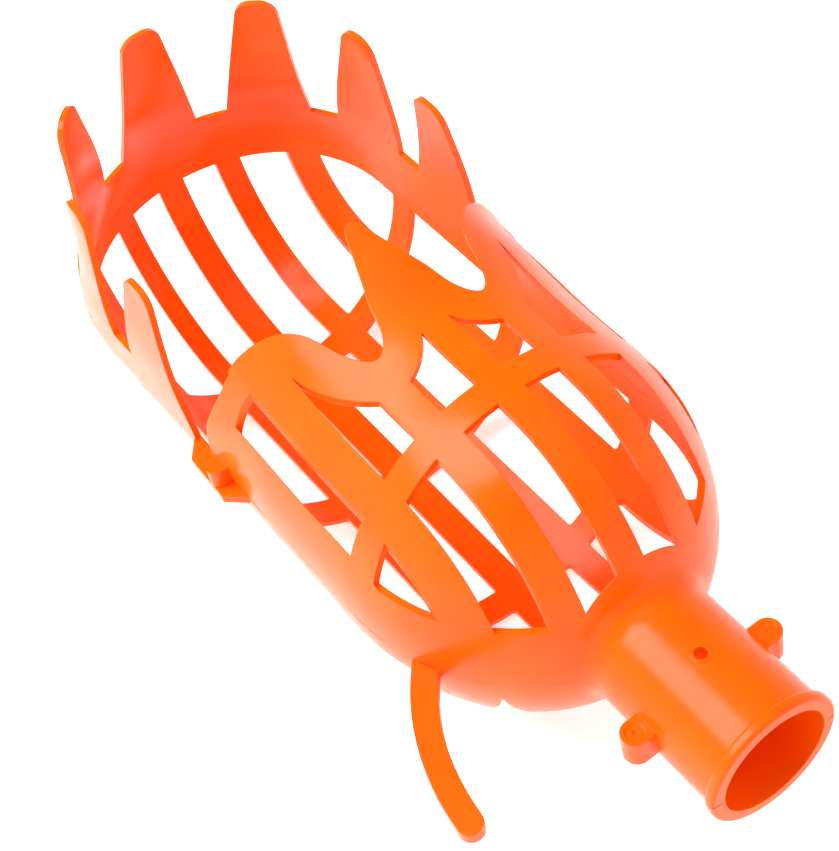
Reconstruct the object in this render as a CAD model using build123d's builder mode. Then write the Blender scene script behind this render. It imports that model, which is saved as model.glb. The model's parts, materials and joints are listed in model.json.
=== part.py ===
from build123d import *
import os
from math import cos, radians, sin, sqrt

# Fruit picker basket: two moulded half shells that meet on the plane z = 0, and four screws.
# The origin is the centre of the pole socket's mouth. +X runs along the pole bore towards
# the claws, and +Z points out through the crown of the short front shell.
# All sizes are in millimetres.

# ---- Driving dimensions ----

hull_wall = 1.9

# Pole socket, for a pole of 1 1/4 inch
bore_radius = 16.0
socket_radius = 18.6
socket_end = 52.0  # inside the hull
collar_radius = 20.0
collar_length = 3.4
collar_round = 1.2

# Small cut across the collar at the parting line
seam_gap = 0.35
seam_gap_inner = 17.3
neck_round = 7.0
neck_limit = 60.0
pilot_x = 25.4
pilot_radius = 1.8
pilot_ring_radius = 2.6
pilot_ring_rise = 0.1

# Basket hull, near the socket
nose_x = 44.0
hull_half_width = 53.0
side_centre_x = 105.0
crown_height = 58.5
crown_centre_x = 90.0

# The crown of the front shell flares outwards to its mouth
flare_start = 118.0
flare_end = 160.0
flare_rise = 11.0

# Far end of the back shell
far_x = 292.0
far_centre_x = 240.0

# Front shell windows, as strips along X either side of the crossbar
front_strips = [(4.2, 14.9), (23.4, 34.3), (42.5, 48.6)]
front_window_start = 50.4
# Windows beyond the crossbar: near low x, top arc as three points (x, y), far low x
upper_windows = [
    (101.0, (124.0, 4.2), (117.8, 9.4), (115.2, 14.9), 101.5),
    (102.0, (118.0, 23.4), (127.5, 29.2), (144.5, 34.3), 102.6),
    (103.6, (154.5, 42.5), (156.7, 45.5), (158.4, 48.6), 104.4),
]
crossbar_x = 96.3
crossbar_width = 9.4
crossbar_bow = 0.06
front_sill = 20.0
window_round = 0.9

# Back shell windows, as strips along X: near and far edge, and where the strip starts
back_strips = [(4.7, 16.4, 57.0), (24.0, 37.0, 62.0), (43.9, 60.0, 76.0)]
first_ring_x = 106.8
back_spans = [(115.2, 164.0), (173.5, 222.5), (232.0, 300.0)]
back_sill = -8.0

# Raised wall behind the mouth, and its claws
band_start = 185.0
band_top = 14.2
claw_base = 28.4
claw_top = 11.8
claw_round = 5.4
claw_reach = 14.0

# Ears beside the socket
ear_x = 26.0
ear_y = 21.7
ear_radius = 3.8
ear_top = 5.0
ear_bottom = -4.4
dish_radius = 2.7
dish_depth = 0.4
dish_slope = 45
dimple_radius = 0.7
dimple_depth = 0.3

# Seam tabs at the mouth
tab_bottom = -3.0
foot_x = 167.5
foot_y = 55.3
foot_radius = 3.0
foot_top = 6.6
foot_root_y = 51.4

# Mouth of the front shell: where its side starts at the seam, and how high the side runs
mouth_side_x = 170.9
mouth_side_top = 40.0

# Hook on the +Y side
hook_width = 7.2
hook_bottom = -4.0

# Self-tapping pan head screws, driven from behind
screw_radius = 1.25
screw_clearance = 1.7
screw_pilot = 1.3
pilot_cover = 1.0
screw_length = 8.0
head_radius = 2.3
head_height = 2.1
head_round = 1.0
screw_point = 1.8
recess_depth = 1.2
recess_reach = 1.3
recess_width = 0.7


def quarter(x, tip, centre, full):
    """Half size at x of a hull that closes as a quarter ellipse from centre to tip."""
    along = min(1.0, max(0.0, (centre - x) / (centre - tip)))
    return full * sqrt(1.0 - along * along)


def flare(x):
    """How far the crown of the front shell has opened at x."""
    along = max(0.0, (x - flare_start) / (flare_end - flare_start))
    return flare_rise * along ** 1.5


def hull_stations(tip):
    """Positions along X where the front hull is described, close together near its tip."""
    cap = [tip + (crown_centre_x - tip) * (1 - cos(radians(a))) for a in (17, 27, 40, 56, 73)]
    return cap + [90.0, 104.0, 120.0, 134.0, 148.0, 162.0, 182.0]


def back_profile(inset):
    """Side line of the back shell's hull, to be turned about the X axis."""
    radius = hull_half_width - inset
    with BuildLine() as line:
        EllipticalCenterArc(
            (side_centre_x, 0), side_centre_x - nose_x - inset, radius, start_angle=90, arc_size=90
        )
        Line((side_centre_x, radius), (far_centre_x, radius))
        EllipticalCenterArc(
            (far_centre_x, 0), far_x - far_centre_x - inset, radius, start_angle=0, arc_size=90
        )
        Line((nose_x + inset, 0), (far_x - inset, 0))
    return line.line


def wall_outline(half_width, centre, reach):
    """Plan of the raised wall: straight sides closed by half an ellipse."""
    with BuildLine() as line:
        EllipticalCenterArc((centre, 0), reach, half_width, start_angle=-90, arc_size=180)
        Polyline((centre, half_width), (140, half_width), (140, -half_width), (centre, -half_width))
    return line.line


def ear_outline(side):
    """Rounded ear beside the socket with its web, on the +Y or the -Y side."""
    with Locations((ear_x, side * ear_y)):
        Circle(ear_radius)
    Polygon(
        (ear_x - ear_radius, side * 16.8),
        (ear_x + ear_radius, side * 16.8),
        (ear_x + ear_radius, side * ear_y),
        (ear_x - ear_radius, side * ear_y),
        align=None,
    )


def neck_edges(shell):
    """Edges where the round socket meets the hull."""
    near = shell.edges().filter_by(
        lambda e: e.bounding_box().min.X > nose_x and e.bounding_box().max.X < neck_limit
    )
    return near.filter_by(lambda e: e.bounding_box().size.Y > socket_radius)


def collar_edges(shell):
    """Outer edges of the collar, at the mouth of the socket and behind it."""
    round_edges = shell.edges().filter_by(GeomType.CIRCLE)
    return round_edges.filter_by(lambda e: abs(e.radius - collar_radius) < 0.01)


# ---- Raised wall and claws of the back shell ----

# Height, half width, centre and reach of the wall's outer plan
wall_levels = [
    (-1.0, 53.0, 239.0, 52.9),
    (5.0, 53.2, 236.8, 54.5),
    (16.0, 53.6, 227.5, 60.7),
    (40.0, 52.3, 218.0, 61.5),
    (74.0, 50.2, 212.0, 57.0),
]

# Each claw: facing angle, middle of its root (x, y), and its tip (x, y, z)
claws = [(0, 282.8, 0.0, 267.5, 0.0, 67.8)]
for side in (1, -1):
    claws.append((side * 44, 269.5, side * 31.9, 255.8, side * 31.9, 66.6))
    claws.append((side * 81, 237.4, side * 48.0, 227.5, side * 50.0, 61.6))
    claws.append((side * 90, 199.5, side * 51.0, 195.0, side * 50.0, 55.4))

with BuildPart() as claw_mask:
    with BuildSketch(Plane.XY.offset(-1)):
        with Locations(((band_start + 320) / 2, 0)):
            Rectangle(320 - band_start, 140)
    extrude(amount=band_top + 1)
    for angle, root_x, root_y, tip_x, tip_y, tip_z in claws:
        facing = (cos(radians(angle)), sin(radians(angle)))
        tangent = (-facing[1], facing[0])
        lean = (tip_x - root_x) * tangent[0] + (tip_y - root_y) * tangent[1]
        outward = Plane(
            origin=(root_x, root_y, 0), x_dir=(tangent[0], tangent[1], 0), z_dir=(facing[0], facing[1], 0)
        )
        with BuildSketch(outward):
            with BuildLine():
                Polyline(
                    (-claw_base / 2, band_top - 4),
                    (-claw_base / 2, band_top),
                    (lean - claw_top / 2, tip_z),
                    (lean + claw_top / 2, tip_z),
                    (claw_base / 2, band_top),
                    (claw_base / 2, band_top - 4),
                    close=True,
                )
            claw_face = make_face()
            fillet(claw_face.vertices().group_by(Axis.Y)[-1], radius=claw_round)
        extrude(amount=claw_reach, both=True)

with BuildPart() as claw_wall:
    for level, half_width, centre, reach in wall_levels:
        with BuildSketch(Plane.XY.offset(level)):
            add(wall_outline(half_width, centre, reach))
            make_face()
    loft()
    for level, half_width, centre, reach in wall_levels:
        with BuildSketch(Plane.XY.offset(level)):
            add(wall_outline(half_width - hull_wall, centre, reach - hull_wall))
            make_face()
    loft(mode=Mode.SUBTRACT)
    add(claw_mask.part, mode=Mode.INTERSECT)

# ---- Back shell ----

with BuildPart() as back_shell:
    with BuildSketch(Plane.XY):
        add(back_profile(0))
        make_face()
    revolve(axis=Axis.X)
    with BuildSketch(Plane.YZ):
        Circle(socket_radius)
    extrude(amount=socket_end)
    with BuildSketch(Plane.YZ):
        Circle(collar_radius)
    extrude(amount=collar_length)
    fillet(neck_edges(back_shell), radius=neck_round)
    fillet(collar_edges(back_shell), radius=collar_round)
    split(bisect_by=Plane.XY, keep=Keep.BOTTOM)
    with BuildSketch(Plane.XY):
        for side in (1, -1):
            ear_outline(side)
    extrude(amount=ear_bottom)
    with BuildSketch(Plane.XY):
        for side in (1, -1):
            Polygon(
                (155.0, side * 51.0),
                (162.4, side * 58.4),
                (179.8, side * 57.9),
                (185.5, side * 53.4),
                (185.5, side * 51.0),
                align=None,
            )
    extrude(amount=tab_bottom)
    with BuildSketch(Plane.XY):
        with BuildLine() as hook_line:
            Spline((83, 44), (70, 54.8), (36, 66.0))
        trace(hook_line.line, line_width=hook_width)
        with Locations((36, 66.0)):
            Circle(hook_width / 2)
    extrude(amount=hook_bottom)
    with BuildSketch(Plane.XY):
        add(back_profile(hull_wall))
        make_face()
    revolve(axis=Axis.X, revolution_arc=-180, mode=Mode.SUBTRACT)
    with BuildSketch(Plane.YZ):
        Circle(bore_radius)
    extrude(amount=socket_end, mode=Mode.SUBTRACT)
    with BuildSketch(Plane.XY.offset(back_sill)):
        for side in (1, -1):
            for near, far, strip_start in back_strips:
                for start, end in [(strip_start, first_ring_x)] + back_spans:
                    with Locations(((start + end) / 2, side * (near + far) / 2)):
                        RectangleRounded(end - start, far - near, window_round)
    extrude(amount=-60, mode=Mode.SUBTRACT)
    add(claw_wall.part)
    with BuildSketch(Plane.XY):
        for side in (1, -1):
            with Locations((ear_x, side * ear_y), (foot_x, side * foot_y)):
                Circle(screw_clearance)
    extrude(amount=-10, mode=Mode.SUBTRACT)

# ---- Front shell ----

with BuildPart() as front_shell:
    for x in hull_stations(nose_x):
        with BuildSketch(Plane.YZ.offset(x)):
            half = quarter(x, nose_x, side_centre_x, hull_half_width)
            Ellipse(half, quarter(x, nose_x, crown_centre_x, crown_height) + flare(x))
    loft()
    with BuildSketch(Plane.YZ):
        Circle(socket_radius)
    extrude(amount=socket_end)
    with BuildSketch(Plane.YZ):
        Circle(collar_radius)
    extrude(amount=collar_length)
    fillet(neck_edges(front_shell), radius=neck_round)
    with BuildSketch(Plane.XY):
        with Locations((pilot_x, 0)):
            Circle(pilot_ring_radius)
    extrude(amount=socket_radius + pilot_ring_rise)
    fillet(collar_edges(front_shell), radius=collar_round)
    split(bisect_by=Plane.XY, keep=Keep.TOP)
    with BuildSketch(Plane.XY):
        for side in (1, -1):
            ear_outline(side)
    extrude(amount=ear_top)
    with BuildSketch(Plane.XY):
        for side in (1, -1):
            with Locations((foot_x, side * foot_y)):
                Circle(foot_radius)
            with Locations((foot_x, side * (foot_y + foot_root_y) / 2)):
                Rectangle(2 * foot_radius, foot_y - foot_root_y)
    extrude(amount=foot_top)
    for x in hull_stations(nose_x + hull_wall):
        with BuildSketch(Plane.YZ.offset(x)):
            half = quarter(x, nose_x + hull_wall, side_centre_x, hull_half_width - hull_wall)
            crown = quarter(x, nose_x + hull_wall, crown_centre_x, crown_height - hull_wall) + flare(x)
            Ellipse(half, crown)
    loft(mode=Mode.SUBTRACT)
    with BuildSketch(Plane.YZ):
        Circle(bore_radius)
    extrude(amount=socket_end, mode=Mode.SUBTRACT)
    # Mouth: a tooth on the centre line between two notches
    with BuildSketch(Plane.XY):
        with BuildLine():
            ThreePointArc((159.5, 0), (158.9, 1.7), (157.2, 2.7))
            Line((157.2, 2.7), (140, 9.2))
            Spline((140, 9.2), (130.2, 12.3), (126.4, 16.4), (131, 20.8), (144, 25.2), (157.2, 34.2),
                   (163.8, 43.3), (172.4, 53), tangents=((-17.2, 6.5), (1, 1)))
            Polyline((172.4, 53), (172.4, 70), (230, 70), (230, 0), (159.5, 0))
        make_face()
        mirror(about=Plane.XZ)
    extrude(amount=100, mode=Mode.SUBTRACT)
    # The side of the mouth runs back to its foot
    with BuildSketch(Plane.XZ):
        with BuildLine():
            Spline((mouth_side_x, 0), (173.7, 9), (171.5, 19), (167, 30), (163.8, mouth_side_top))
            Polyline(
                (163.8, mouth_side_top), (190, mouth_side_top), (190, 0), (mouth_side_x, 0)
            )
        make_face()
    extrude(amount=80, both=True, mode=Mode.SUBTRACT)
    # Windows
    with BuildSketch(Plane.XY.offset(front_sill)):
        for side in (1, -1):
            for near, far in front_strips:
                bar = crossbar_x + crossbar_bow * (near + far) / 2 - crossbar_width / 2
                Polygon(
                    (front_window_start, side * near), (bar, side * near),
                    (bar + 0.4, side * far), (front_window_start, side * far), align=None,
                )
            for near_low, near_top, middle, far_top, far_low in upper_windows:
                with BuildLine():
                    ThreePointArc(
                        (near_top[0], side * near_top[1]),
                        (middle[0], side * middle[1]),
                        (far_top[0], side * far_top[1]),
                    )
                    Polyline(
                        (far_top[0], side * far_top[1]),
                        (far_low, side * far_top[1]),
                        (near_low, side * near_top[1]),
                        (near_top[0], side * near_top[1]),
                    )
                make_face()
    extrude(amount=60, mode=Mode.SUBTRACT)
    with BuildSketch(Plane.XY):
        with Locations((pilot_x, 0)):
            Circle(pilot_radius)
    extrude(amount=30, mode=Mode.SUBTRACT)
    # Cut at the parting line
    with BuildSketch(Plane.XY):
        for side in (1, -1):
            with Locations((collar_length / 2, side * collar_radius)):
                Rectangle(collar_length, 2 * (collar_radius - seam_gap_inner))
    extrude(amount=seam_gap, mode=Mode.SUBTRACT)
    # Blind pilot holes for the screws
    for x, y, top in ((ear_x, ear_y, ear_top), (foot_x, foot_y, foot_top)):
        with BuildSketch(Plane.XY):
            with Locations((x, y), (x, -y)):
                Circle(screw_pilot)
        extrude(amount=top - pilot_cover, mode=Mode.SUBTRACT)
    # Dished tops of the ear bosses
    with BuildSketch(Plane.XY.offset(ear_top)):
        with Locations((ear_x, ear_y), (ear_x, -ear_y)):
            Circle(dish_radius)
    extrude(amount=-dish_depth, taper=dish_slope, mode=Mode.SUBTRACT)
    with BuildSketch(Plane.XY.offset(ear_top - dish_depth)):
        with Locations((ear_x, ear_y), (ear_x, -ear_y)):
            Circle(dimple_radius)
    extrude(amount=-dimple_depth, mode=Mode.SUBTRACT)

# ---- Screws ----


def build_screw(x, y, seat):
    """Pan head screw at (x, y), its head under the seat and its shank pointing up."""
    with BuildPart() as screw:
        with BuildSketch(Plane.XY.offset(seat)):
            with Locations((x, y)):
                Circle(screw_radius)
        extrude(amount=screw_length)
        chamfer(screw.edges().group_by(Axis.Z)[-1], length=screw_point, length2=screw_radius * 0.8)
        with BuildSketch(Plane.XY.offset(seat)):
            with Locations((x, y)):
                Circle(head_radius)
        extrude(amount=-head_height)
        fillet(screw.edges().group_by(Axis.Z)[0], radius=head_round)
        with BuildSketch(Plane.XY.offset(seat - head_height)):
            with Locations((x, y)):
                Rectangle(2 * recess_reach, recess_width)
                Rectangle(recess_width, 2 * recess_reach)
        extrude(amount=recess_depth, mode=Mode.SUBTRACT)
    return screw


ear_screw_left = build_screw(ear_x, ear_y, ear_bottom)
ear_screw_right = build_screw(ear_x, -ear_y, ear_bottom)
mouth_screw_left = build_screw(foot_x, foot_y, tab_bottom)
mouth_screw_right = build_screw(foot_x, -foot_y, tab_bottom)

# ---- Export ----

back_shell.part.label = "back_shell"
front_shell.part.label = "front_shell"
ear_screw_left.part.label = "ear_screw_left"
ear_screw_right.part.label = "ear_screw_right"
mouth_screw_left.part.label = "mouth_screw_left"
mouth_screw_right.part.label = "mouth_screw_right"

os.makedirs("parts", exist_ok=True)
export_step(back_shell.part, "parts/back_shell.step")
export_step(front_shell.part, "parts/front_shell.step")
export_step(ear_screw_left.part, "parts/ear_screw_left.step")
export_step(ear_screw_right.part, "parts/ear_screw_right.step")
export_step(mouth_screw_left.part, "parts/mouth_screw_left.step")
export_step(mouth_screw_right.part, "parts/mouth_screw_right.step")
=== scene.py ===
import json
import math

import bmesh
import bpy
from mathutils import Euler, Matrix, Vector

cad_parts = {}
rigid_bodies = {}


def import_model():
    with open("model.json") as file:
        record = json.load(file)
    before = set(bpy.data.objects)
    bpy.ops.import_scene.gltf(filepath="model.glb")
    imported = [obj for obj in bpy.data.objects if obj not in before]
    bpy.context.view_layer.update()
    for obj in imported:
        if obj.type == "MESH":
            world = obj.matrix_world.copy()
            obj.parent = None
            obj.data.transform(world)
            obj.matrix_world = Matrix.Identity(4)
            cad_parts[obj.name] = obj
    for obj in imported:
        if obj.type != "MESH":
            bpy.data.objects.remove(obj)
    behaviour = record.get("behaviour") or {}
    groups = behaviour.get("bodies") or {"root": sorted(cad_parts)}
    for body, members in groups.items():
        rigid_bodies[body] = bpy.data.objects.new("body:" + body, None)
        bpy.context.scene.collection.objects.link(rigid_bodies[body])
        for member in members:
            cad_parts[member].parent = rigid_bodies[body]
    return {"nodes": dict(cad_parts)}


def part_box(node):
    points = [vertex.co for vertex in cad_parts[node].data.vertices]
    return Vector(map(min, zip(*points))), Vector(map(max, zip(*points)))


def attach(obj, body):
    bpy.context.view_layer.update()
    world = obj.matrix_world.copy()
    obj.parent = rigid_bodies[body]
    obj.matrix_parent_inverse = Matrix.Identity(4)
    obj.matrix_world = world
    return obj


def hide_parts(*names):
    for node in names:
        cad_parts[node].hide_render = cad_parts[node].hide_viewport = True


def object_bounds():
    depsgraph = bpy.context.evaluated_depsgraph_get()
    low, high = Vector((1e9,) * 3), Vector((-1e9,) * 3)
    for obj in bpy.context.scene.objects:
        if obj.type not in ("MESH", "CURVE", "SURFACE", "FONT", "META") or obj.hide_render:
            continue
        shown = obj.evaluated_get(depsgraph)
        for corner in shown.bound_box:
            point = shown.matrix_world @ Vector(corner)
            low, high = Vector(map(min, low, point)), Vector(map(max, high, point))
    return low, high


# Fruit picker basket: two moulded plastic half shells on a pole socket, held by four screws.
# Everything is in metres, in the row frame: +X along the pole bore, +Z out of the front shell.

# Radius of the moulded edges, in the shading only
EDGE_ROUND = 0.0004

CAMERA_PLACE = Vector((-0.17028, 0.14812, 0.42081))
CAMERA_TARGET = Vector((0.14368, 0.00217, 0.0))
CAMERA_ROLL = math.radians(-14.62)
CAMERA_LENS = 82.4

# Screws: head under the seat, shank pointing up
SCREW_LENGTH = 0.008
CORE_RADIUS = 0.00105
THREAD_RADIUS = 0.00148
THREAD_PITCH = 0.0011
HEAD_RADIUS = 0.0023
HEAD_HEIGHT = 0.0021
HEAD_SKIRT = 0.0008
TAPER_LENGTH = 0.0018
RECESS_DEPTH = 0.0012
RECESS_MOUTH = (0.00135, 0.00032)
RECESS_FLOOR = (0.00075, 0.00024)
SEGMENTS = 48

# Light: the surroundings are bright at the horizon and dim overhead
HORIZON_GLOW = 1.15
OVERHEAD_GLOW = 0.10

# Softboxes: name, place, target, size, power, and whether they show in reflections
SOFTBOXES = [
    ("key", (0.42, 0.46, 0.76), (0.1, 0.0, 0.0), 0.62, 10.5, True),
    ("fill", (-0.5, -0.7, 0.6), (0.12, 0.0, 0.0), 0.8, 2.0, False),
    ("overhead", (0.0, 0.1, 1.3), (0.14, 0.0, 0.0), 1.4, 8.0, False),
]

FLOOR_REACH = 14.0
FLOOR_GAP = 0.0003


def clear_scene():
    """Remove whatever the start-up file holds."""
    for thing in list(bpy.data.objects):
        bpy.data.objects.remove(thing)


def new_material(name):
    """Material with a Principled shader; returns the material, its node tree and the shader."""
    material = bpy.data.materials.new(name)
    material.use_nodes = True
    tree = material.node_tree
    return material, tree, tree.nodes["Principled BSDF"]


def noise(tree, coordinates, scale, detail):
    """Noise texture in object space."""
    texture = tree.nodes.new("ShaderNodeTexNoise")
    texture.inputs["Scale"].default_value = scale
    texture.inputs["Detail"].default_value = detail
    tree.links.new(coordinates.outputs["Object"], texture.inputs["Vector"])
    return texture


def spread(tree, source, low, high):
    """Map a noise value onto low..high."""
    remap = tree.nodes.new("ShaderNodeMapRange")
    remap.inputs["From Min"].default_value = 0.3
    remap.inputs["From Max"].default_value = 0.7
    remap.inputs["To Min"].default_value = low
    remap.inputs["To Max"].default_value = high
    tree.links.new(source.outputs["Fac"], remap.inputs["Value"])
    return remap


def bump(tree, shader, height, strength, distance, edge_round=0.0):
    """Bump the shader's surface by a height value, over softly rounded edges if asked."""
    node = tree.nodes.new("ShaderNodeBump")
    if edge_round:
        edges = tree.nodes.new("ShaderNodeBevel")
        edges.samples = 6
        edges.inputs["Radius"].default_value = edge_round
        tree.links.new(edges.outputs["Normal"], node.inputs["Normal"])
    node.inputs["Strength"].default_value = strength
    node.inputs["Distance"].default_value = distance
    tree.links.new(height, node.inputs["Height"])
    tree.links.new(node.outputs["Normal"], shader.inputs["Normal"])


def plastic_material():
    """Glossy orange moulded plastic, with faint colour drift and the grain of the mould."""
    material, tree, shader = new_material("orange_plastic")
    coordinates = tree.nodes.new("ShaderNodeTexCoord")
    drift = noise(tree, coordinates, 38.0, 3.0)
    ramp = tree.nodes.new("ShaderNodeValToRGB")
    ramp.color_ramp.elements[0].position = 0.32
    ramp.color_ramp.elements[0].color = (1.0, 0.108, 0.0006, 1.0)
    ramp.color_ramp.elements[1].position = 0.70
    ramp.color_ramp.elements[1].color = (1.0, 0.136, 0.0012, 1.0)
    tree.links.new(drift.outputs["Fac"], ramp.inputs["Fac"])
    tree.links.new(ramp.outputs["Color"], shader.inputs["Base Color"])
    grain = noise(tree, coordinates, 900.0, 4.0)
    gloss = spread(tree, noise(tree, coordinates, 140.0, 4.0), 0.19, 0.27)
    tree.links.new(gloss.outputs["Result"], shader.inputs["Roughness"])
    bump(tree, shader, grain.outputs["Fac"], 0.10, 0.0002, EDGE_ROUND)
    shader.inputs["IOR"].default_value = 1.49
    shader.inputs["Specular IOR Level"].default_value = 0.20
    shader.inputs["Subsurface Weight"].default_value = 0.15
    shader.inputs["Subsurface Radius"].default_value = (1.0, 0.55, 0.05)
    shader.inputs["Subsurface Scale"].default_value = 0.003
    return material


def steel_material():
    """Zinc-plated steel with fine turning marks."""
    material, tree, shader = new_material("zinc_steel")
    coordinates = tree.nodes.new("ShaderNodeTexCoord")
    tone = noise(tree, coordinates, 700.0, 5.0)
    ramp = tree.nodes.new("ShaderNodeValToRGB")
    ramp.color_ramp.elements[0].color = (0.42, 0.42, 0.44, 1.0)
    ramp.color_ramp.elements[1].color = (0.66, 0.66, 0.67, 1.0)
    tree.links.new(tone.outputs["Fac"], ramp.inputs["Fac"])
    tree.links.new(ramp.outputs["Color"], shader.inputs["Base Color"])
    gloss = spread(tree, noise(tree, coordinates, 1500.0, 4.0), 0.22, 0.42)
    tree.links.new(gloss.outputs["Result"], shader.inputs["Roughness"])
    bump(tree, shader, tone.outputs["Fac"], 0.15, 0.0001)
    shader.inputs["Metallic"].default_value = 1.0
    return material


def floor_material():
    """Matt white paper sweep."""
    material, tree, shader = new_material("pale_floor")
    coordinates = tree.nodes.new("ShaderNodeTexCoord")
    fibre = noise(tree, coordinates, 260.0, 3.0)
    ramp = tree.nodes.new("ShaderNodeValToRGB")
    ramp.color_ramp.elements[0].color = (0.90, 0.90, 0.90, 1.0)
    ramp.color_ramp.elements[1].color = (0.94, 0.94, 0.94, 1.0)
    tree.links.new(fibre.outputs["Fac"], ramp.inputs["Fac"])
    tree.links.new(ramp.outputs["Color"], shader.inputs["Base Color"])
    shader.inputs["Roughness"].default_value = 0.9
    shader.inputs["Specular IOR Level"].default_value = 0.0
    shader.inputs["Emission Color"].default_value = (1.0, 1.0, 1.0, 1.0)
    shader.inputs["Emission Strength"].default_value = 0.52
    return material


def screw_profile():
    """Rows of (radius, z, threaded) from the middle of the head's face to the screw's tip."""
    rows = []
    for step in range(1, 9):
        angle = math.radians(90 * step / 8)
        z = -HEAD_SKIRT - (HEAD_HEIGHT - HEAD_SKIRT) * math.cos(angle)
        rows.append((HEAD_RADIUS * math.sin(angle), z, False))
    rows.append((HEAD_RADIUS, -0.0002, False))
    rows.append((HEAD_RADIUS - 0.0002, 0.0, False))
    rows.append((CORE_RADIUS + 0.0002, 0.0, False))
    rows.append((CORE_RADIUS, 0.0002, False))
    count = int(SCREW_LENGTH / THREAD_PITCH * 12)
    for step in range(1, count):
        z = 0.0003 + (SCREW_LENGTH - 0.0004) * step / count
        rows.append((CORE_RADIUS * min(1.0, (SCREW_LENGTH - z) / TAPER_LENGTH + 0.08), z, True))
    return rows


def thread_height(turn, z):
    """Height of the thread over the core, a steep tooth winding up the shank."""
    phase = (z / THREAD_PITCH - turn) % 1.0
    tooth = max(0.0, 1.0 - abs(phase - 0.5) / 0.24)
    fade = min(1.0, (SCREW_LENGTH - z) / 0.0016)
    return (THREAD_RADIUS - CORE_RADIUS) * tooth * fade


def build_screw(name, node_name, material):
    """Pan head screw with a thread and a cross recess, standing for a CAD screw."""
    low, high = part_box(node_name)
    centre = Vector(((low[0] + high[0]) / 2, (low[1] + high[1]) / 2, low[2] + HEAD_HEIGHT))
    shape = bmesh.new()
    rings = []
    for radius, z, threaded in screw_profile():
        ring = []
        for step in range(SEGMENTS):
            turn = step / SEGMENTS
            reach = radius + (thread_height(turn, z) if threaded else 0.0)
            angle = turn * math.tau
            ring.append(shape.verts.new((reach * math.cos(angle), reach * math.sin(angle), z)))
        rings.append(ring)
    for lower, upper in zip(rings, rings[1:]):
        for step in range(SEGMENTS):
            after = (step + 1) % SEGMENTS
            shape.faces.new((lower[step], lower[after], upper[after], upper[step]))
    crown = shape.verts.new((0, 0, -HEAD_HEIGHT))
    tip = shape.verts.new((0, 0, SCREW_LENGTH))
    for step in range(SEGMENTS):
        after = (step + 1) % SEGMENTS
        shape.faces.new((crown, rings[0][after], rings[0][step]))
        shape.faces.new((tip, rings[-1][step], rings[-1][after]))
    bmesh.ops.recalc_face_normals(shape, faces=shape.faces)
    mesh = bpy.data.meshes.new(name)
    shape.to_mesh(mesh)
    shape.free()
    screw = bpy.data.objects.new(name, mesh)
    bpy.context.collection.objects.link(screw)
    cut_recess(screw)
    for face in screw.data.polygons:
        face.use_smooth = True
    screw.data.set_sharp_from_angle(angle=math.radians(35))
    screw.data.materials.append(material)
    for vertex in screw.data.vertices:
        vertex.co += centre
    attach(screw, "root")
    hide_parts(node_name)


def cut_recess(screw):
    """Cut a tapered cross into the head."""
    shape = bmesh.new()
    for quarter in range(2):
        mouth, floor = [], []
        for x, y in ((-1, -1), (1, -1), (1, 1), (-1, 1)):
            wide = Vector((x * RECESS_MOUTH[0], y * RECESS_MOUTH[1], -HEAD_HEIGHT - 0.0002))
            narrow = Vector((x * RECESS_FLOOR[0], y * RECESS_FLOOR[1], -HEAD_HEIGHT + RECESS_DEPTH))
            turned = Euler((0, 0, quarter * math.pi / 2))
            wide.rotate(turned)
            narrow.rotate(turned)
            mouth.append(shape.verts.new(wide))
            floor.append(shape.verts.new(narrow))
        shape.faces.new(mouth)
        shape.faces.new(floor)
        for step in range(4):
            after = (step + 1) % 4
            shape.faces.new((mouth[step], mouth[after], floor[after], floor[step]))
    bmesh.ops.recalc_face_normals(shape, faces=shape.faces)
    mesh = bpy.data.meshes.new("recess")
    shape.to_mesh(mesh)
    shape.free()
    cutter = bpy.data.objects.new("recess", mesh)
    bpy.context.collection.objects.link(cutter)
    cut = screw.modifiers.new("recess", "BOOLEAN")
    cut.operation = "DIFFERENCE"
    cut.solver = "EXACT"
    cut.use_self = True
    cut.object = cutter
    shown = screw.evaluated_get(bpy.context.evaluated_depsgraph_get())
    result = bpy.data.meshes.new_from_object(shown)
    screw.modifiers.clear()
    screw.data = result
    bpy.data.objects.remove(cutter)


def softbox(name, place, target, size, power, reflected):
    """Square area light at place, facing target, seen in glossy reflections or not."""
    light = bpy.data.lights.new(name, "AREA")
    light.shape = "SQUARE"
    light.size = size
    light.energy = power
    lamp = bpy.data.objects.new(name, light)
    lamp.location = place
    lamp.visible_glossy = reflected
    lamp.rotation_euler = (Vector(target) - Vector(place)).to_track_quat("-Z", "Y").to_euler()
    bpy.context.collection.objects.link(lamp)


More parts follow.
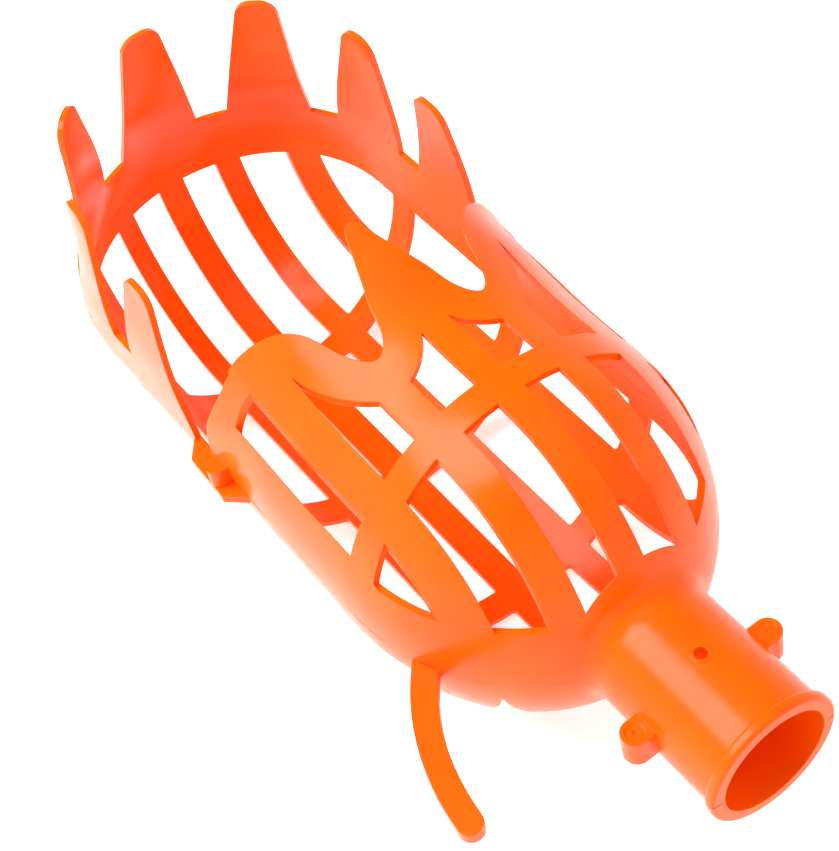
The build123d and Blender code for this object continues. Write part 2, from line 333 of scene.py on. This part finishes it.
def build_stage(low):
    """Pale floor just under the object."""
    mesh = bpy.data.meshes.new("floor")
    corners = [(x * FLOOR_REACH, y * FLOOR_REACH, 0) for x, y in ((-1, -1), (1, -1), (1, 1), (-1, 1))]
    mesh.from_pydata(corners, [], [(0, 1, 2, 3)])
    floor = bpy.data.objects.new("floor", mesh)
    floor.location = (0.15, 0.0, low[2] - FLOOR_GAP)
    floor.data.materials.append(floor_material())
    bpy.context.collection.objects.link(floor)


def build_light():
    """White surroundings and the softboxes."""
    world = bpy.data.worlds.new("surroundings")
    bpy.context.scene.world = world
    world.use_nodes = True
    tree = world.node_tree
    background = tree.nodes["Background"]
    background.inputs["Color"].default_value = (1.0, 1.0, 1.0, 1.0)
    direction = tree.nodes.new("ShaderNodeTexCoord")
    parts = tree.nodes.new("ShaderNodeSeparateXYZ")
    fall = tree.nodes.new("ShaderNodeMapRange")
    fall.inputs["From Min"].default_value = 0.05
    fall.inputs["From Max"].default_value = 0.60
    fall.inputs["To Min"].default_value = HORIZON_GLOW
    fall.inputs["To Max"].default_value = OVERHEAD_GLOW
    tree.links.new(direction.outputs["Generated"], parts.inputs["Vector"])
    tree.links.new(parts.outputs["Z"], fall.inputs["Value"])
    tree.links.new(fall.outputs["Result"], background.inputs["Strength"])
    for name, place, target, size, power, reflected in SOFTBOXES:
        softbox(name, place, target, size, power, reflected)


def build_camera():
    """Camera at the photograph's viewing angle."""
    lens = bpy.data.cameras.new("camera")
    lens.sensor_width = 36.0
    lens.sensor_fit = "HORIZONTAL"
    lens.lens = CAMERA_LENS
    lens.clip_start = 0.01
    lens.clip_end = 50.0
    camera = bpy.data.objects.new("camera", lens)
    camera.location = CAMERA_PLACE
    facing = (CAMERA_TARGET - CAMERA_PLACE).to_track_quat("-Z", "Y")
    camera.rotation_euler = (facing @ Euler((0, 0, CAMERA_ROLL)).to_quaternion()).to_euler()
    bpy.context.collection.objects.link(camera)
    bpy.context.scene.camera = camera


clear_scene()
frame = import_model()
cad_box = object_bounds()

plastic = plastic_material()
steel = steel_material()
for shell in ("back_shell", "front_shell"):
    finish = frame["nodes"][shell].data.materials
    finish.clear()
    finish.append(plastic)
for screw in ("ear_screw_left", "ear_screw_right", "mouth_screw_left", "mouth_screw_right"):
    build_screw(screw + "_threaded", screw, steel)

build_stage(cad_box[0])
build_light()
build_camera()
bpy.context.scene.view_settings.view_transform = "Standard"
